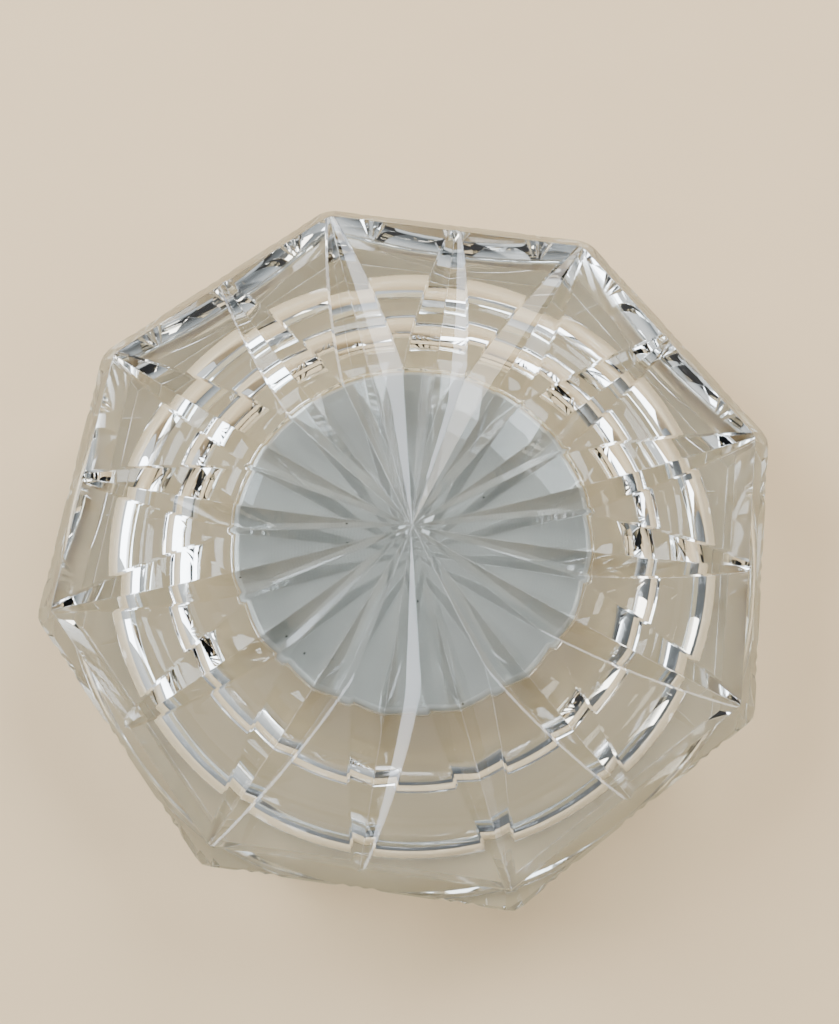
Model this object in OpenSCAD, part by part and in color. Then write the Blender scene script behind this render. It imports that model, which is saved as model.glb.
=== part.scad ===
// Octagonal cut-crystal presentation award, lying on its rim with the star-cut face up.
// A silver-plated medallion is bonded to the floor of the stepped bowl underneath.
// Millimetres, +Z up, origin at the centre of the rim plane that it rests on.

/* [Crystal block] */
// Width across the flats of the star-cut face
face_w = 133; // [125:1:141]
// Height from the rim to the star-cut face
block_h = 28; // [27:0.5:32]
// How far the edge bevel runs out beyond the star-cut face
bevel_run = 3.5; // [3:0.5:4.5]
// How far the edge bevel drops below the star-cut face
bevel_drop = 3.5; // [3:0.5:4.5]
// How far the wall pulls in from the girdle to the waist
waist_run = 5; // [4:0.5:5.5]
// Drop from the star-cut face to the waist, where the wall turns upright
waist_drop = 17; // [15:1:19]
// Width of the small facet that blunts each corner of the star-cut face
corner_w = 2; // [1:0.5:3]

/* [Star cutting] */
// Number of lance cuts in the star, half of them to the corners
lances = 16; // [8:8:16]
// Included angle of the mitre wheel that cuts the lances
wheel_angle = 104; // [100:2:130]
// Distance from the star centre to the deepest place of a lance
lance_mid = 27; // [25:1:29]
// Widest width of a lance
lance_w = 13; // [12:0.5:13.5]
// Distance from the deepest place at which a lance to a flat runs out
lance_reach = 43; // [41:1:45]
// Extra reach of the lances that run to the corners
corner_reach = 4; // [2:0.5:6]
// Diameter of the small dimple that keeps the lance tips from meeting in a single point
centre_d = 2.4; // [2:0.2:3]

/* [Edge notches] */
// Notches in the leaning wall below the girdle, for each flat
edge_notches = 3; // [1:1:3]
// Width of an edge notch at the girdle
notch_w = 7; // [5:0.5:8]
// Included angle of the notch
notch_angle = 140; // [120:5:150]

/* [Bowl] */
// Glass between the star-cut face and the floor of the bowl
floor_t = 12; // [11:0.5:13]
// Radius at which the first step of the bowl starts
step1_r = 38.5; // [38:0.5:40]
// Radius of the hollow curve of the first step
step1_curve = 16; // [14:0.5:16.5]
// Radius at which the second step starts
step2_r = 52.5; // [52:0.5:53]
// Radius of the hollow curve of the second step
step2_curve = 13.5; // [12:0.5:13.5]
// Steepest slope of the hollow curves
step_slope = 55; // [50:1:55]

/* [Medallion] */
// Diameter of the medallion
medal_d = 74.4; // [66:0.2:74.6]
// Thickness of the medallion
medal_t = 3; // [2.8:0.1:4]
// Radius of its rolled edge
roll_r = 1.3; // [0.8:0.1:1.35]
// Depth of the shallow seat ground into the bowl's floor
seat_depth = 1; // [0.6:0.1:1.4]
// Gap between the medallion and the wall of its seat
seat_gap = 0.3; // [0.1:0.1:0.6]
// Thickness of the clear bond film behind the medallion
film_t = 0.2; // [0.1:0.05:0.4]

/* [Hidden] */
$fn = 96;
bowl_fn = 180;
roll_fn = 48;
flats = 8;
flat_step = 360 / flats;
face_r = face_w / 2;
girdle_r = face_r + bevel_run;
girdle_z = block_h - bevel_drop;
waist_r = girdle_r - waist_run;
waist_z = block_h - waist_drop;
floor_z = block_h - floor_t;
seat_z = floor_z + seat_depth;
step1_drop = step1_curve * (1 - cos(step_slope));
step2_drop = step2_curve * (1 - cos(step_slope));
far = 3 * face_w;

// Everything outside one flat of the octagon, from under the rim to above the star face.
module beyond_flat() {
    rotate([90, 0, 0])
        linear_extrude(height = far, center = true)
            polygon([[waist_r, -1], [waist_r, waist_z], [girdle_r, girdle_z],
                     [face_r - bevel_run, block_h + bevel_drop],
                     [far, block_h + bevel_drop], [far, -1]]);
}

// Everything beyond the small facet that blunts one corner of the bevel.
module beyond_corner() {
    corner_r = face_r / cos(flat_step / 2) - corner_w / 2 * tan(flat_step / 2);
    translate([corner_r, 0, block_h])
        rotate([0, -atan(bevel_run / bevel_drop), 0])
            translate([0, -far / 2, -far / 2])
                cube([far, far, far]);
}

// A V-shaped wedge along X, open upwards, with its lowest line through the origin and its
// front at x = front.
module v_wedge(angle, side, front = far / 2) {
    rotate([90, 0, 90])
        translate([0, 0, front - far])
            linear_extrude(height = far)
                polygon([[0, 0], [side * tan(angle / 2), side], [-side * tan(angle / 2), side]]);
}

// One lance cut along X. Its hollow keel follows the mitre wheel's arc in straight facets,
// each of them tangent to the wheel where it stands.
module lance(reach) {
    depth = lance_w / 2 / tan(wheel_angle / 2);
    wheel_r = (reach * reach + depth * depth) / (2 * depth);
    intersection_for (share = [-0.42, 0, 0.42, 0.84]) {
        x = share * reach;
        translate([lance_mid + x, 0, block_h - depth + wheel_r - sqrt(wheel_r * wheel_r - x * x)])
            rotate([0, -asin(x / wheel_r), 0])
                v_wedge(wheel_angle, far / 3);
    }
}

// The sector of the star that one lance keeps to. Neighbours overlap, so that the
// ridge between two lances is where their own faces meet.
module lance_sector() {
    reach = 1.4 * face_r;
    half_w = reach * tan(320 / lances);
    translate([centre_d / 5, 0, block_h / 2])
        linear_extrude(height = block_h)
            polygon([[0, 0], [reach, -half_w], [reach, half_w]]);
}

module star() {
    for (i = [0:lances - 1])
        rotate([0, 0, i * 360 / lances])
            intersection() {
                lance(lance_reach + (i % 2) * corner_reach);
                lance_sector();
            }
}

// The dimple that clears the meeting point of the lances, a little deeper than they are there.
module centre_dimple() {
    reach = lance_reach + corner_reach;
    depth = lance_w / 2 / tan(wheel_angle / 2);
    wheel_r = (reach * reach + depth * depth) / (2 * depth);
    below = depth - lance_mid * lance_mid / (2 * wheel_r) + 0.4;
    translate([0, 0, block_h - below])
        cylinder(d = centre_d, h = 2 * below);
}

// V notches in the leaning wall, widest at the girdle and run out just above the waist.
module notches() {
    run_out = 0.25;
    wall_h = girdle_z - waist_z;
    flat_l = 2 * face_r * tan(flat_step / 2);
    depth = notch_w / 2 / tan(notch_angle / 2);
    lean = atan((waist_run - depth - run_out) / wall_h);
    for (i = [0:flats - 1], k = [0:edge_notches - 1])
        rotate([0, 0, i * flat_step])
            translate([waist_r + run_out, flat_l * ((k + 0.5) / edge_notches - 0.5), waist_z])
                rotate([0, 90 + lean, 0])
                    v_wedge(notch_angle, 2 * wall_h, run_out);
}

// Outline of one hollow step: the inner part of a disc that starts at radius r and
// height z, kept to where its slope is under step_slope.
module step_outline(r, curve, z) {
    intersection() {
        translate([r, z - curve])
            circle(r = curve, $fn = bowl_fn);
        translate([r - 1, z - curve * (1 - cos(step_slope))])
            square([curve * sin(step_slope) + 1, 2 * curve]);
    }
}

module bowl() {
    step2_z = floor_z - step1_drop;
    rim_z = step2_z - step2_drop;
    overlap = 0.01;
    rotate_extrude($fn = bowl_fn)
        union() {
            translate([0, -1])
                square([step2_r + step2_curve * sin(step_slope), rim_z + 1]);
            translate([0, rim_z - overlap])
                square([step2_r, step2_drop + overlap]);
            translate([0, step2_z - overlap])
                square([step1_r, step1_drop + overlap]);
            step_outline(step1_r, step1_curve, floor_z);
            step_outline(step2_r, step2_curve, step2_z);
        }
}

module seat() {
    cylinder(d = medal_d + 2 * seat_gap, h = seat_z);
}

module crystal_body() color([0.80, 0.87, 0.87, 0.45]) {
    difference() {
        translate([-girdle_r * 1.2, -girdle_r * 1.2, 0])
            cube([girdle_r * 2.4, girdle_r * 2.4, block_h]);
        for (i = [0:flats - 1]) {
            rotate([0, 0, i * flat_step])
                beyond_flat();
            rotate([0, 0, (i + 0.5) * flat_step])
                beyond_corner();
        }
        star();
        centre_dimple();
        notches();
        bowl();
        seat();
    }
}

module medallion() color([0.75, 0.76, 0.76])
    translate([0, 0, seat_z - film_t - medal_t])
        rotate_extrude()
            union() {
                square([medal_d / 2 - roll_r, medal_t]);
                square([medal_d / 2, medal_t - roll_r]);
                translate([medal_d / 2 - roll_r, medal_t - roll_r])
                    circle(r = roll_r, $fn = roll_fn);
            }

module bond_film() color([0.9, 0.9, 0.8, 0.3])
    translate([0, 0, seat_z - film_t])
        cylinder(r = medal_d / 2 - roll_r, h = film_t);

crystal_body();
medallion();
bond_film();
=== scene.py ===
"""Looks of an octagonal cut-crystal award with a bonded silver medallion.

Laid out as an add-on and run as a script.

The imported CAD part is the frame: it gives every outer size. The crystal, the medallion and the adhesive are
rebuilt as finer meshes inside it, and each has its own procedural finish.
"""

import math

import bmesh
import bpy
from mathutils import Matrix, Vector


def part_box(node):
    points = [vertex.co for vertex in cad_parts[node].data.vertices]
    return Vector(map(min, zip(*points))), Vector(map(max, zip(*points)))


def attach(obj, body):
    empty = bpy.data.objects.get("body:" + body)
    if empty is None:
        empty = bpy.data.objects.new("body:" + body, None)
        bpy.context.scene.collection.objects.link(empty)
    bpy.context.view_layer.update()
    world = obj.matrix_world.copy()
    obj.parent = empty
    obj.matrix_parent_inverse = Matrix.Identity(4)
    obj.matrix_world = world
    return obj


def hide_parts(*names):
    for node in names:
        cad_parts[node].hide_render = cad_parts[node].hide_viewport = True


bl_info = {
    "name": "Cut-crystal award",
    "version": (1, 0, 0),
    "blender": (4, 5, 0),
    "location": "3D View > Sidebar > Award",
    "description": "Builds the crystal, the medallion, the adhesive and the studio round the packed part",
    "category": "Object",
}

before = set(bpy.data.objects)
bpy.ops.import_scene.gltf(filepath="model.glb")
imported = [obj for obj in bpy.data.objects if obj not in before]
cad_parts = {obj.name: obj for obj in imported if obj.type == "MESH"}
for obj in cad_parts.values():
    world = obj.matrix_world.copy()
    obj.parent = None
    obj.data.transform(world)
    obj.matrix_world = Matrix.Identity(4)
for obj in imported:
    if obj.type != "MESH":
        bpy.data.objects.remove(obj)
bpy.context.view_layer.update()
BLOCK_LOW, BLOCK_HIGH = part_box("crystal_body")
MEDAL_LOW, MEDAL_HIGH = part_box("medallion")
FILM_LOW, FILM_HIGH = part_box("bond_film")

MM = 0.001
FLATS = 8
FLAT_STEP = 2 * math.pi / FLATS
GIRDLE_R = BLOCK_HIGH.x
BLOCK_H = BLOCK_HIGH.z
MEDAL_R = MEDAL_HIGH.x
FILM_R = FILM_HIGH.x
# Included angles of the flatter cut that leaves a lance's arrises, and of each narrow cut in a fan.
ARRIS_ANGLE = math.radians(140)
BLADE_ANGLE = math.radians(144)


# ---------------------------------------------------------------------------------------------
# Colours and node helpers
# ---------------------------------------------------------------------------------------------


def linear(hex_colour, alpha=1.0):
    """An sRGB hex colour as linear RGBA."""
    digits = hex_colour.lstrip("#")
    channels = [int(digits[i : i + 2], 16) / 255 for i in (0, 2, 4)]
    return [c / 12.92 if c <= 0.04045 else ((c + 0.055) / 1.055) ** 2.4 for c in channels] + [alpha]


def add_node(tree, kind, links=None, **settings):
    """Adds one node. A setting names a property or, failing that, an input socket; links feed inputs."""
    node = tree.nodes.new(kind)
    for name, value in settings.items():
        key = name.replace("_", " ").title().replace("Ior", "IOR")
        if name in node.bl_rna.properties:
            setattr(node, name, value)
        else:
            node.inputs[key].default_value = value
    for socket, source in (links or {}).items():
        tree.links.new(source, node.inputs[socket])
    return node


def new_material(name):
    """An empty material with its output node, and the tree that it is drawn in."""
    material = bpy.data.materials.new(name)
    material.use_nodes = True
    material.node_tree.nodes.clear()
    return material, material.node_tree


def finish_material(tree, shader):
    output = tree.nodes.new("ShaderNodeOutputMaterial")
    tree.links.new(shader.outputs[0], output.inputs["Surface"])


def colour_steps(tree, source, steps):
    """A colour ramp with the given (position, linear colour) steps."""
    ramp = add_node(tree, "ShaderNodeValToRGB", {"Fac": source})
    elements = ramp.color_ramp.elements
    while len(elements) < len(steps):
        elements.new(0.5)
    for element, (position, colour) in zip(elements, steps):
        element.position = position
        element.color = colour
    return ramp


def stretched_noise(tree, points, across_mm, along_mm, turn_deg, **settings):
    """Noise drawn out along one direction, as wiping leaves it: across_mm and along_mm are its grain."""
    mapping = add_node(
        tree,
        "ShaderNodeMapping",
        {"Vector": points},
        rotation=(0, 0, math.radians(turn_deg)),
        scale=(1 / (along_mm * MM), 1 / (across_mm * MM), 1 / (along_mm * MM)),
    )
    return add_node(tree, "ShaderNodeTexNoise", {"Vector": mapping.outputs[0]}, scale=1.0, **settings)


# ---------------------------------------------------------------------------------------------
# Settings that a user would change
# ---------------------------------------------------------------------------------------------


def length_property(name, description, millimetres):
    return bpy.props.FloatProperty(
        name=name, description=description, default=millimetres * MM, min=0.0, unit="LENGTH", precision=5
    )


def angle_property(name, description, degrees):
    return bpy.props.FloatProperty(
        name=name, description=description, default=math.radians(degrees), unit="ROTATION", subtype="ANGLE"
    )


def colour_property(name, description, hex_colour):
    return bpy.props.FloatVectorProperty(
        name=name, description=description, default=linear(hex_colour), size=4, min=0, max=1, subtype="COLOR"
    )


class AWARD_PG_crystal(bpy.types.PropertyGroup):
    """Sizes of the crystal's cuts and the look of the glass."""

    bevel: length_property("Edge bevel", "How far the edge bevel runs out and down from the star face", 3.5)
    waist_run: length_property("Waist", "How far the wall pulls in from the girdle to the waist", 5)
    waist_z: length_property("Waist height", "Height of the waist above the rim", 11)
    corner_w: length_property("Corner facet", "Width of the facet that blunts each corner of the face", 2)
    lance_mid: length_property("Lance middle", "Distance from the star centre to a lance's deepest place", 27)
    lance_w: length_property("Lance width", "Widest width of a lance", 13)
    lance_reach: length_property("Lance reach", "From the deepest place to where a lance runs out", 43)
    corner_reach: length_property("Corner reach", "Extra reach of the lances to the corners", 4)
    wheel_angle: angle_property("Wheel angle", "Included angle of the mitre wheel", 104)
    floor_z: length_property("Bowl floor", "Height of the bowl's floor above the rim", 16)
    step1_r: length_property("First step", "Radius at which the bowl's first hollow step starts", 38.5)
    step1_curve: length_property("First curve", "Radius of the first step's hollow curve", 16)
    step2_r: length_property("Second step", "Radius at which the second hollow step starts", 52.5)
    step2_curve: length_property("Second curve", "Radius of the second step's hollow curve", 13.5)
    step_slope: angle_property("Step slope", "Steepest slope of the hollow curves", 55)
    seat_gap: length_property("Seat gap", "Gap between the medallion and the wall of its seat", 0.3)
    fans: bpy.props.IntProperty(name="Fans", description="Fan cuts in each flat", default=3, min=1)
    fan_w: length_property("Fan width", "Width of a fan cut at the girdle", 7.6)
    arris_w: length_property("Arris width", "Width that the flat arris adds to each side of a lance", 0.25)
    arris: length_property("Arris radius", "Radius that polishing leaves on every cut edge", 0.3)
    tint: colour_property("Glass tint", "Colour of the light that the crystal lets through", "#EDF2F1")


class AWARD_PG_medallion(bpy.types.PropertyGroup):
    """Sizes and colours of the medallion and its adhesive."""

    roll: length_property("Rolled edge", "Radius of the medallion's rolled edge", 1.3)
    tool_pitch: length_property("Tool pitch", "Spacing of the turned rings on the medallion's face", 0.7)
    plate: colour_property("Silver plate", "Colour of the satin silver plate", "#ECECEA")
    plate_worn: colour_property("Dulled plate", "Colour of the plate where it has dulled", "#D6D6D3")
    adhesive: colour_property("Adhesive", "Colour of the clear cured adhesive", "#FDFDFB")


class AWARD_PG_stage(bpy.types.PropertyGroup):
    """The floor, the lights and the camera."""

    floor: colour_property("Floor", "Colour of the plain pale floor", "#DFC59B")
    camera_azimuth: angle_property("Camera azimuth", "How far the camera stands to the right", 8.242)
    camera_elevation: angle_property("Camera elevation", "Camera's height angle above the star face", 71.228)
    camera_roll: angle_property("Camera roll", "Turn of the camera about its own axis", -0.24)
    camera_distance: length_property("Camera distance", "From the camera to where it looks", 236.33)
    aim_x: length_property("Aim to the right", "Where the camera looks, right of the star centre", 1.286)
    aim_y: length_property("Aim to the back", "Where the camera looks, behind the star centre", 2.005)
    view_angle: angle_property("View angle", "Height of the camera's view as an angle", 46.5)


# ---------------------------------------------------------------------------------------------
# Mesh helpers
# ---------------------------------------------------------------------------------------------


def mesh_object(name, bm, material=None):
    """Turns a bmesh into a linked object with outward faces."""
    bmesh.ops.recalc_face_normals(bm, faces=bm.faces)
    mesh = bpy.data.meshes.new(name)
    bm.to_mesh(mesh)
    bm.free()
    obj = bpy.data.objects.new(name, mesh)
    bpy.context.scene.collection.objects.link(obj)
    if material:
        mesh.materials.append(material)
    return obj


def smooth_below(obj, degrees):
    """Smooth shading, with every edge sharper than the angle kept crisp."""
    obj.data.polygons.foreach_set("use_smooth", [True] * len(obj.data.polygons))
    obj.data.set_sharp_from_angle(angle=math.radians(degrees))


def loft(rings):
    """A closed bmesh of quads between rings that have the same number of points."""
    bm = bmesh.new()
    rows = [[bm.verts.new(p) for p in ring] for ring in rings]
    for low, high in zip(rows, rows[1:]):
        for i in range(len(low)):
            j = (i + 1) % len(low)
            bm.faces.new((low[i], low[j], high[j], high[i]))
    bm.faces.new(rows[0])
    bm.faces.new(rows[-1])
    return bm


def lathe(profile, segments):
    """A closed bmesh turned about Z from (radius, height) points that start and end on the axis."""
    bm = bmesh.new()
    start, end = bm.verts.new((0, 0, profile[0][1])), bm.verts.new((0, 0, profile[-1][1]))
    rows = []
    for radius, height in profile[1:-1]:
        turns = [2 * math.pi * i / segments for i in range(segments)]
        rows.append([bm.verts.new((radius * math.cos(t), radius * math.sin(t), height)) for t in turns])
    for i in range(segments):
        j = (i + 1) % segments
        bm.faces.new((start, rows[0][i], rows[0][j]))
        bm.faces.new((end, rows[-1][j], rows[-1][i]))
        for low, high in zip(rows, rows[1:]):
            bm.faces.new((low[i], low[j], high[j], high[i]))
    return bm


def arc(centre, radius, start_deg, end_deg, steps):
    """Points along an arc in the (radius, height) plane."""
    angles = [math.radians(start_deg + (end_deg - start_deg) * i / steps) for i in range(steps + 1)]
    return [(centre[0] + radius * math.cos(a), centre[1] + radius * math.sin(a)) for a in angles]


def octagon(apothem, height):
    """Corner points of one octagon, square to the axes, at a height."""
    radius = apothem / math.cos(FLAT_STEP / 2)
    turns = [FLAT_STEP * (i + 0.5) for i in range(FLATS)]
    return [Vector((radius * math.cos(t), radius * math.sin(t), height)) for t in turns]


def cut_with(obj, cutters):
    """Takes the cutters away from the object, one after the other, and removes them."""
    for cutter in cutters:
        modifier = obj.modifiers.new("cut", "BOOLEAN")
        modifier.operation = "DIFFERENCE"
        modifier.solver = "MANIFOLD"
        modifier.object = cutter
    bpy.context.view_layer.update()
    depsgraph = bpy.context.evaluated_depsgraph_get()
    mesh = bpy.data.meshes.new_from_object(obj.evaluated_get(depsgraph))
    obj.modifiers.clear()
    obj.data = mesh
    for cutter in cutters:
        bpy.data.objects.remove(cutter)


def turned(angle):
    return Matrix.Rotation(angle, 4, "Z")


# ---------------------------------------------------------------------------------------------
# Materials
# ---------------------------------------------------------------------------------------------


def crystal_material(settings):
    """Lead crystal, wheel-cut and polished in acid: clear and heavy-looking, with bright thin arrises.

    Polishing rounds each cut edge a little and leaves a faint swell on the flats, and handling leaves fine
    scuffs and smears that only show where a highlight crosses them.
    """
    material, tree = new_material("Lead_crystal_cut_and_polished")
    points = add_node(tree, "ShaderNodeTexCoord").outputs["Object"]
    # Swell of the polished flats: 9 mm from crest to crest, far too low to see as relief.
    swell = add_node(tree, "ShaderNodeTexNoise", {"Vector": points}, scale=1 / (9 * MM), detail=2.0)
    # Scuffs from standing on shelves: 0.15 mm across and 6 mm long, in two crossing directions.
    scuff_a = stretched_noise(tree, points, 0.15, 6, 24, detail=3.0)
    scuff_b = stretched_noise(tree, points, 0.15, 5, -52, detail=3.0)
    scuffs = add_node(
        tree, "ShaderNodeMath", {0: scuff_a.outputs[0], 1: scuff_b.outputs[0]}, operation="MULTIPLY"
    )
    fine = colour_steps(tree, scuffs.outputs[0], [(0.36, (0, 0, 0, 1)), (0.46, (1, 1, 1, 1))])
    # Smears from handling: 14 mm patches of very slightly hazier gloss.
    smears = add_node(tree, "ShaderNodeTexNoise", {"Vector": points}, scale=1 / (14 * MM), detail=4.0)
    haze = add_node(
        tree,
        "ShaderNodeMapRange",
        {"Value": smears.outputs[0]},
        from_min=0.5,
        from_max=0.8,
        to_min=0.0,
        to_max=0.02,
    )
    scratched = add_node(
        tree, "ShaderNodeMath", {0: fine.outputs[0], 2: haze.outputs[0]}, operation="MULTIPLY_ADD"
    )
    scratched.inputs[1].default_value = 0.03
    arris = add_node(tree, "ShaderNodeBevel", samples=8, radius=settings.arris)
    relief = add_node(
        tree,
        "ShaderNodeBump",
        {"Height": swell.outputs[0], "Normal": arris.outputs[0]},
        strength=1.0,
        distance=0.02 * MM,
    )
    shader = add_node(
        tree,
        "ShaderNodeBsdfPrincipled",
        {"Normal": relief.outputs[0], "Roughness": scratched.outputs[0]},
        base_color=settings.tint,
        ior=1.545,
        transmission_weight=1.0,
    )
    finish_material(tree, shader)
    return material


def silver_material(settings):
    """Satin silver plate over a turned disc: soft grey sheen with fine rings, hairlines and a few specks."""
    material, tree = new_material("Satin_silver_plate_turned")
    points = add_node(tree, "ShaderNodeTexCoord").outputs["Object"]
    # Rings from turning: the real ones are finer than a picture shows, so they are drawn at the tool pitch.
    rings = add_node(
        tree,
        "ShaderNodeTexWave",
        {"Vector": points},
        wave_type="RINGS",
        rings_direction="Z",
        scale=2 * math.pi / (settings.tool_pitch * 20),
        distortion=1.6,
        detail=3.0,
        detail_scale=2.0,
    )
    # Hairline scratches, 0.12 mm across and 9 mm long, left by wiping in three directions.
    hairs = None
    for turn in (12, 71, -38):
        noise = stretched_noise(tree, points, 0.12, 9, turn, detail=2.0)
        step = colour_steps(tree, noise.outputs[0], [(0.66, (0, 0, 0, 1)), (0.74, (1, 1, 1, 1))])
        if hairs is None:
            hairs = step.outputs[0]
        else:
            joined = add_node(tree, "ShaderNodeMath", {0: hairs, 1: step.outputs[0]}, operation="MAXIMUM")
            hairs = joined.outputs[0]
    # Dulled patches about 16 mm wide, and specks 0.5 mm wide that stand about 7 mm apart.
    patches = add_node(tree, "ShaderNodeTexNoise", {"Vector": points}, scale=1 / (16 * MM), detail=5.0)
    cells = add_node(tree, "ShaderNodeTexVoronoi", {"Vector": points}, scale=1 / (7 * MM))
    speck = colour_steps(tree, cells.outputs["Distance"], [(0.03, (1, 1, 1, 1)), (0.05, (0, 0, 0, 1))])
    plate = add_node(tree, "ShaderNodeMix", {"Factor": patches.outputs[0]}, data_type="RGBA")
    plate.inputs[6].default_value = settings.plate
    plate.inputs[7].default_value = settings.plate_worn
    specked = add_node(
        tree, "ShaderNodeMix", {"Factor": speck.outputs[0], 6: plate.outputs[2]}, data_type="RGBA"
    )
    specked.inputs[7].default_value = linear("#5A5C58")
    rough = add_node(
        tree,
        "ShaderNodeMapRange",
        {"Value": patches.outputs[0]},
        from_min=0.3,
        from_max=0.7,
        to_min=0.48,
        to_max=0.62,
    )
    rougher = add_node(tree, "ShaderNodeMath", {0: hairs, 2: rough.outputs[0]}, operation="MULTIPLY_ADD")
    rougher.inputs[1].default_value = -0.10
    ring_bump = add_node(
        tree, "ShaderNodeBump", {"Height": rings.outputs["Fac"]}, strength=0.5, distance=0.012 * MM
    )
    hair_bump = add_node(
        tree,
        "ShaderNodeBump",
        {"Height": hairs, "Normal": ring_bump.outputs[0]},
        strength=0.6,
        distance=0.02 * MM,
    )
    hair_bump.invert = True
    shader = add_node(
        tree,
        "ShaderNodeBsdfPrincipled",
        {
            "Base Color": specked.outputs[2],
            "Roughness": rougher.outputs[0],
            "Normal": hair_bump.outputs[0],
        },
        metallic=1.0,
    )
    finish_material(tree, shader)
    return material


def adhesive_material(settings):
    """Clear cured adhesive between glass and plate: a thin wet-looking layer with tiny trapped bubbles."""
    material, tree = new_material("Clear_cured_adhesive")
    points = add_node(tree, "ShaderNodeTexCoord").outputs["Object"]
    # Bubbles 0.4 mm wide, about 5 mm apart.
    cells = add_node(tree, "ShaderNodeTexVoronoi", {"Vector": points}, scale=1 / (5 * MM))
    bubble = colour_steps(tree, cells.outputs["Distance"], [(0.03, (1, 1, 1, 1)), (0.06, (0, 0, 0, 1))])
    flow = add_node(tree, "ShaderNodeTexNoise", {"Vector": points}, scale=1 / (12 * MM), detail=3.0)
    rough = add_node(
        tree,
        "ShaderNodeMapRange",
        {"Value": flow.outputs[0]},
        from_min=0.4,
        from_max=0.8,
        to_min=0.01,
        to_max=0.08,
    )
    relief = add_node(tree, "ShaderNodeBump", {"Height": bubble.outputs[0]}, strength=0.4, distance=0.02 * MM)
    shader = add_node(
        tree,
        "ShaderNodeBsdfPrincipled",
        {"Roughness": rough.outputs[0], "Normal": relief.outputs[0]},
        base_color=settings.adhesive,
        ior=1.49,
        transmission_weight=1.0,
    )
    finish_material(tree, shader)
    return material


def floor_material(settings):
    """Plain pale painted board: matt, with a barely visible mottle."""
    material, tree = new_material("Pale_painted_board")
    points = add_node(tree, "ShaderNodeTexCoord").outputs["Object"]
    mottle = add_node(tree, "ShaderNodeTexNoise", {"Vector": points}, scale=1 / (30 * MM), detail=4.0)
    shade = add_node(tree, "ShaderNodeMix", {"Factor": mottle.outputs[0]}, data_type="RGBA")
    shade.inputs[6].default_value = settings.floor
    shade.inputs[7].default_value = [c * 0.93 for c in settings.floor[:3]] + [1.0]
    shader = add_node(tree, "ShaderNodeBsdfPrincipled", {"Base Color": shade.outputs[2]}, roughness=0.75)
    finish_material(tree, shader)
    return material


# ---------------------------------------------------------------------------------------------
# Pieces
# ---------------------------------------------------------------------------------------------


def wheel_cut(length_from, length_to, mid, reach, width, angle, top):
    """The path of a mitre wheel along X: a V whose keel follows the wheel's arc, deepest at mid."""
    depth = width / 2 / math.tan(angle / 2)
    wheel_r = (reach * reach + depth * depth) / (2 * depth)
    side = width * 1.5
    steps = 96
    rings = []
    for i in range(steps + 1):
        x = length_from + (length_to - length_from) * i / steps - mid
        tilt = math.asin(x / wheel_r)
        centre = Vector((mid, 0, top - depth + wheel_r))
        out = Vector((math.sin(tilt), 0, -math.cos(tilt)))
        shoulder = centre + out * (wheel_r - side / math.tan(angle / 2))
        half = Vector((0, side, 0))
        rings.append([centre + out * wheel_r, shoulder + half, shoulder - half])
    return loft(rings)


def star_cutters(s):
    """The lances: sixteen wheel cuts from the star centre, alternately to the flats and the corners."""
    lances = 2 * FLATS
    arris_w = s.lance_w + 2 * s.arris_w
    cutters = []
    for i in range(lances):
        reach = s.lance_reach + (i % 2) * s.corner_reach
        # The second, flatter cut only takes the sharp edge off both sides of the lance.
        for width, angle in ((s.lance_w, s.wheel_angle), (arris_w, ARRIS_ANGLE)):
            run = reach * math.sqrt(width / s.lance_w)
            bm = wheel_cut(-2 * MM, s.lance_mid + run + 6 * MM, s.lance_mid, run, width, angle, BLOCK_H)
            bm.transform(turned(2 * math.pi * i / lances))
            cutters.append(mesh_object("lance", bm))
    return cutters


def corner_cutters(s):
    """One slanting slab for the small facet at each corner of the bevel."""
    face_r = GIRDLE_R - s.bevel
    corner_r = face_r / math.cos(FLAT_STEP / 2) - s.corner_w / 2 * math.tan(FLAT_STEP / 2)
    size = 30 * MM
    cutters = []
    for i in range(FLATS):
        near = Vector((corner_r - size, 0, BLOCK_H + size))
        far = Vector((corner_r + size, 0, BLOCK_H - size))
        back = Vector((size, 0, size))
        half = Vector((0, size, 0))
        rings = [[near - half, far - half, far - half + back, near - half + back]]
        rings.append([p + 2 * half for p in rings[0]])
        bm = loft(rings)
        bm.transform(turned(FLAT_STEP * (i + 0.5)))
        cutters.append(mesh_object("corner", bm))
    return cutters


def fan_cutters(s):
    """Fans of narrow V cuts that spread from a point at the waist to the girdle."""
    blades = (-1, 0, 1)
    run_out = 0.25 * MM
    wall_h = BLOCK_H - s.bevel - s.waist_z
    waist_r = GIRDLE_R - s.waist_run
    flat_l = 2 * (GIRDLE_R - s.bevel) * math.tan(FLAT_STEP / 2)
    blade_pitch = s.fan_w / len(blades)
    # Neighbouring blades overlap by a quarter, and each runs on past the girdle into the air.
    blade_w = blade_pitch * 1.25
    length = wall_h * 1.35
    depth = blade_w / 2 / math.tan(BLADE_ANGLE / 2)
    lean = math.atan((s.waist_run - depth - run_out) / wall_h)
    side = 3 * blade_w
    opening = side / math.tan(BLADE_ANGLE / 2)
    section = [Vector((0, 0, 0)), Vector((opening, side, 0)), Vector((opening, -side, 0))]
    ends = (Vector((0, 0, -run_out)), Vector((0, 0, length)))
    cutters = []
    for i in range(FLATS):
        for k in range(s.fans):
            along = flat_l * ((k + 0.5) / s.fans - 0.5)
            place = Matrix.Translation((waist_r + run_out, along, s.waist_z)) @ Matrix.Rotation(lean, 4, "Y")
            for blade in blades:
                spread = math.atan(blade * blade_pitch / wall_h)
                bm = loft([[p + end for p in section] for end in ends])
                bm.transform(turned(FLAT_STEP * i) @ place @ Matrix.Rotation(-spread, 4, "X"))
                cutters.append(mesh_object("fan", bm))
    return cutters


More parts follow.
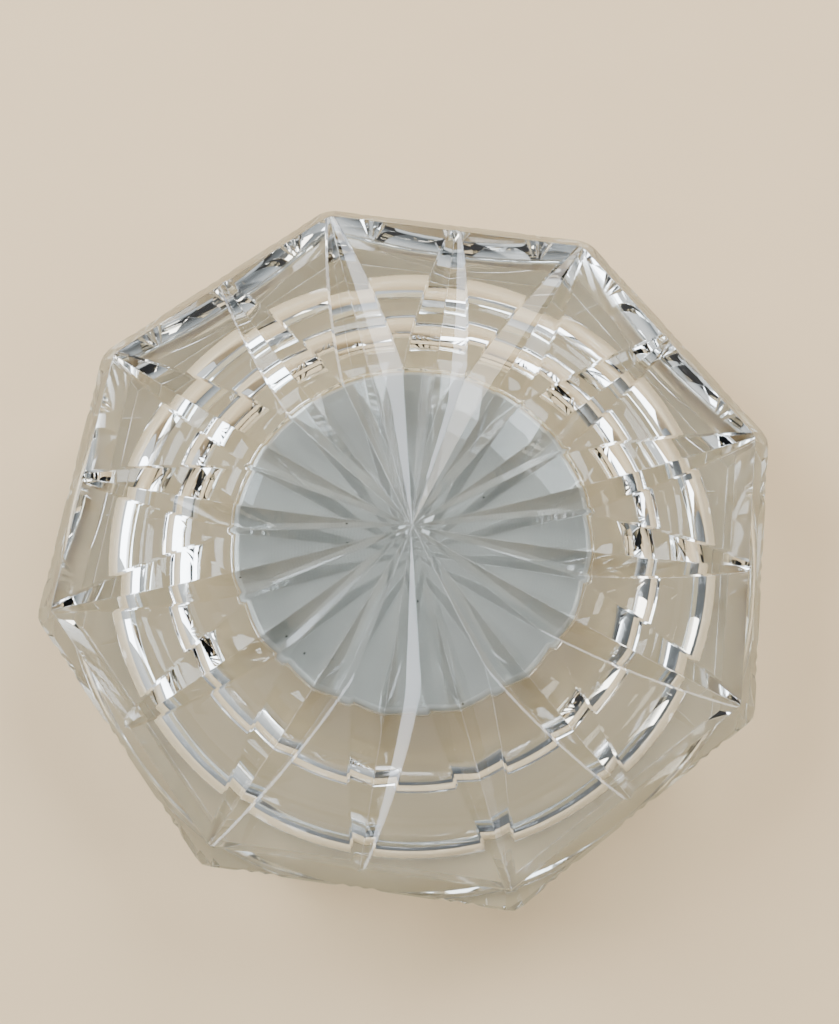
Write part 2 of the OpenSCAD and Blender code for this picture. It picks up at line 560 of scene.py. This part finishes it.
def bowl_cutter(s):
    """The stepped bowl and the medallion's seat: two hollow curves below a flat floor, turned about Z."""
    slope = math.degrees(s.step_slope)
    drop1 = s.step1_curve * (1 - math.cos(s.step_slope))
    step2_z = s.floor_z - drop1
    seat_r = MEDAL_R + s.seat_gap
    profile = [(0, FILM_HIGH.z), (seat_r, FILM_HIGH.z), (seat_r, s.floor_z)]
    profile += arc((s.step1_r, s.floor_z - s.step1_curve), s.step1_curve, 90, 90 - slope, 28)
    profile += arc((s.step2_r, step2_z - s.step2_curve), s.step2_curve, 90, 90 - slope, 28)
    profile += [(profile[-1][0], -5 * MM), (0, -5 * MM)]
    return mesh_object("bowl", lathe(profile, 256))


def build_crystal(s):
    """The crystal block: an octagonal blank, then every cut in the order that a cutter would take them."""
    material = crystal_material(s)
    waist_r = GIRDLE_R - s.waist_run
    blank = [
        octagon(waist_r, BLOCK_LOW.z),
        octagon(waist_r, s.waist_z),
        octagon(GIRDLE_R, BLOCK_H - s.bevel),
        octagon(GIRDLE_R - s.bevel, BLOCK_H),
    ]
    crystal = mesh_object("crystal", loft(blank), material)
    cut_with(crystal, corner_cutters(s) + star_cutters(s) + fan_cutters(s) + [bowl_cutter(s)])
    smooth_below(crystal, 9)
    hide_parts("crystal_body")
    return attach(crystal, "root")


def build_medallion(s):
    """The medallion: a turned disc with a rolled edge, a satin face and a shallow recess behind."""
    low, high = MEDAL_LOW.z, MEDAL_HIGH.z
    edge = (MEDAL_R - s.roll, high - s.roll)
    back_round = 0.4 * MM
    bead_r = MEDAL_R - 3 * s.roll
    bead = 0.5 * MM
    profile = [(0, high), (edge[0] * 0.5, high)]
    profile += arc(edge, s.roll, 90, 0, 14)
    profile += arc((MEDAL_R - back_round, low + back_round), back_round, 0, -90, 6)
    profile += arc((bead_r, low + bead), bead, -60, -120, 8)
    profile += [(bead_r - 2 * MM, low + bead), (0, low + bead)]
    medallion = mesh_object("medallion_disc", lathe(profile, 256), silver_material(s))
    smooth_below(medallion, 35)
    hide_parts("medallion")
    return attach(medallion, "root")


def build_adhesive(s):
    """The adhesive: a thin clear disc with a rounded edge, a hair clear of the glass and the plate."""
    clear = 0.01 * MM
    low, high = FILM_LOW.z + clear, FILM_HIGH.z - clear
    half = (high - low) / 2
    profile = [(0, high), (FILM_R * 0.5, high)]
    profile += arc((FILM_R - half, low + half), half, 90, -90, 8)
    profile += [(0, low)]
    adhesive = mesh_object("adhesive_layer", lathe(profile, 192), adhesive_material(s))
    smooth_below(adhesive, 50)
    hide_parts("bond_film")
    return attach(adhesive, "root")


# ---------------------------------------------------------------------------------------------
# Stage
# ---------------------------------------------------------------------------------------------


def soft_light(name, azimuth, elevation, distance, width, height, watts, tint):
    """A soft box that faces the award from a direction given in degrees."""
    a, e = math.radians(azimuth), math.radians(elevation)
    direction = Vector((math.sin(a) * math.cos(e), -math.cos(a) * math.cos(e), math.sin(e)))
    data = bpy.data.lights.new(name, "AREA")
    data.shape = "RECTANGLE"
    data.size, data.size_y = width, height
    data.energy = watts
    data.color = linear(tint)[:3]
    light = bpy.data.objects.new(name, data)
    light.location = direction * distance
    light.rotation_euler = (-direction).to_track_quat("-Z", "Y").to_euler()
    bpy.context.scene.collection.objects.link(light)


def build_floor(s):
    """A pale board that sweeps up behind the award."""
    half, front, back, rise, top = 1.2, -1.4, 0.55, 0.5, 1.6
    gap = 0.05 * MM
    steps = 16
    turns = [math.pi / 2 * i / steps for i in range(1, steps + 1)]
    line = [(front, 0.0), (back, 0.0)]
    line += [(back + rise * math.sin(t), rise * (1 - math.cos(t))) for t in turns]
    line += [(back + rise, top)]
    bm = bmesh.new()
    left = [bm.verts.new((-half, y, z - gap)) for y, z in line]
    right = [bm.verts.new((half, y, z - gap)) for y, z in line]
    for i in range(len(line) - 1):
        bm.faces.new((left[i], right[i], right[i + 1], left[i + 1]))
    floor = mesh_object("floor", bm, floor_material(s))
    smooth_below(floor, 30)


def build_world():
    """A room that is bright overhead and at the back left, and dim at the front right."""
    world = bpy.data.worlds.new("Studio_room")
    bpy.context.scene.world = world
    world.use_nodes = True
    tree = world.node_tree
    tree.nodes.clear()
    direction = add_node(tree, "ShaderNodeTexCoord").outputs["Generated"]
    bright_side = Vector((-0.55, 0.35, 0.76))
    facing = add_node(tree, "ShaderNodeVectorMath", {0: direction}, operation="DOT_PRODUCT")
    facing.inputs[1].default_value = bright_side
    share = add_node(
        tree, "ShaderNodeMapRange", {"Value": facing.outputs["Value"]}, from_min=-1.0, from_max=1.0
    )
    steps = [
        (0.0, linear("#4C4E50")),
        (0.45, linear("#5E6265")),
        (0.62, linear("#A9AEB2")),
        (0.85, linear("#FFFFFF")),
    ]
    shade = colour_steps(tree, share.outputs[0], steps)
    background = add_node(tree, "ShaderNodeBackground", {"Color": shade.outputs[0]}, strength=1.2)
    output = tree.nodes.new("ShaderNodeOutputWorld")
    tree.links.new(background.outputs[0], output.inputs["Surface"])


def build_camera(s):
    """The camera, placed by its angles about a point on the star face."""
    aim = Vector((s.aim_x, s.aim_y, BLOCK_H))
    a, e = s.camera_azimuth, s.camera_elevation
    back = Vector((math.sin(a) * math.cos(e), -math.cos(a) * math.cos(e), math.sin(e)))
    data = bpy.data.cameras.new("Camera")
    data.sensor_fit = "VERTICAL"
    data.sensor_height = 24
    data.lens = data.sensor_height / 2 / math.tan(s.view_angle / 2)
    data.sensor_width = data.sensor_height
    data.clip_start, data.clip_end = 0.01, 20
    camera = bpy.data.objects.new("Camera", data)
    camera.location = aim + back * s.camera_distance
    turn = (-back).to_track_quat("-Z", "Y").to_matrix() @ Matrix.Rotation(s.camera_roll, 3, "Z")
    camera.rotation_euler = turn.to_euler()
    bpy.context.scene.collection.objects.link(camera)
    bpy.context.scene.camera = camera


# ---------------------------------------------------------------------------------------------
# Operators, panel and registration
# ---------------------------------------------------------------------------------------------


class AWARD_OT_crystal(bpy.types.Operator):
    """Cut the crystal block"""

    bl_idname = "award.crystal"
    bl_label = "Crystal"

    def execute(self, context):
        if not build_crystal(context.scene.award_crystal).data.polygons:
            raise RuntimeError("the crystal came out empty")
        return {"FINISHED"}


class AWARD_OT_medallion(bpy.types.Operator):
    """Turn the medallion"""

    bl_idname = "award.medallion"
    bl_label = "Medallion"

    def execute(self, context):
        build_medallion(context.scene.award_medallion)
        return {"FINISHED"}


class AWARD_OT_adhesive(bpy.types.Operator):
    """Lay the clear adhesive"""

    bl_idname = "award.adhesive"
    bl_label = "Adhesive"

    def execute(self, context):
        build_adhesive(context.scene.award_medallion)
        return {"FINISHED"}


class AWARD_OT_stage(bpy.types.Operator):
    """Set the floor, the room, the lights and the camera"""

    bl_idname = "award.stage"
    bl_label = "Stage"

    def execute(self, context):
        settings = context.scene.award_stage
        build_floor(settings)
        build_world()
        soft_light("Window_left", -105, 32, 1.3, 0.8, 1.1, 30, "#EEF4FF")
        soft_light("Window_back", 152, 34, 1.3, 0.7, 1.1, 24, "#F2F6FF")
        soft_light("Fill_right", 88, 30, 1.4, 0.3, 1.0, 8, "#FFF6EA")
        build_camera(settings)
        return {"FINISHED"}


class AWARD_PT_panel(bpy.types.Panel):
    """Lists the award's pieces and settings"""

    bl_idname = "AWARD_PT_panel"
    bl_label = "Cut-crystal award"
    bl_space_type = "VIEW_3D"
    bl_region_type = "UI"
    bl_category = "Award"

    def draw(self, context):
        scene = context.scene
        for operator, settings in (
            (AWARD_OT_crystal, scene.award_crystal),
            (AWARD_OT_medallion, scene.award_medallion),
            (AWARD_OT_adhesive, None),
            (AWARD_OT_stage, scene.award_stage),
        ):
            box = self.layout.box()
            box.operator(operator.bl_idname)
            for name in settings.__annotations__ if settings else ():
                box.prop(settings, name)


CLASSES = (
    AWARD_PG_crystal,
    AWARD_PG_medallion,
    AWARD_PG_stage,
    AWARD_OT_crystal,
    AWARD_OT_medallion,
    AWARD_OT_adhesive,
    AWARD_OT_stage,
    AWARD_PT_panel,
)
SETTINGS = {
    "award_crystal": AWARD_PG_crystal,
    "award_medallion": AWARD_PG_medallion,
    "award_stage": AWARD_PG_stage,
}


def register():
    for cls in CLASSES:
        bpy.utils.register_class(cls)
    for name, group in SETTINGS.items():
        setattr(bpy.types.Scene, name, bpy.props.PointerProperty(type=group))


def unregister():
    for name in SETTINGS:
        delattr(bpy.types.Scene, name)
    for cls in reversed(CLASSES):
        bpy.utils.unregister_class(cls)


def main():
    """Builds everything."""
    register()
    bpy.ops.award.crystal()
    bpy.ops.award.medallion()
    bpy.ops.award.adhesive()
    bpy.ops.award.stage()


if __name__ == "__main__":
    main()
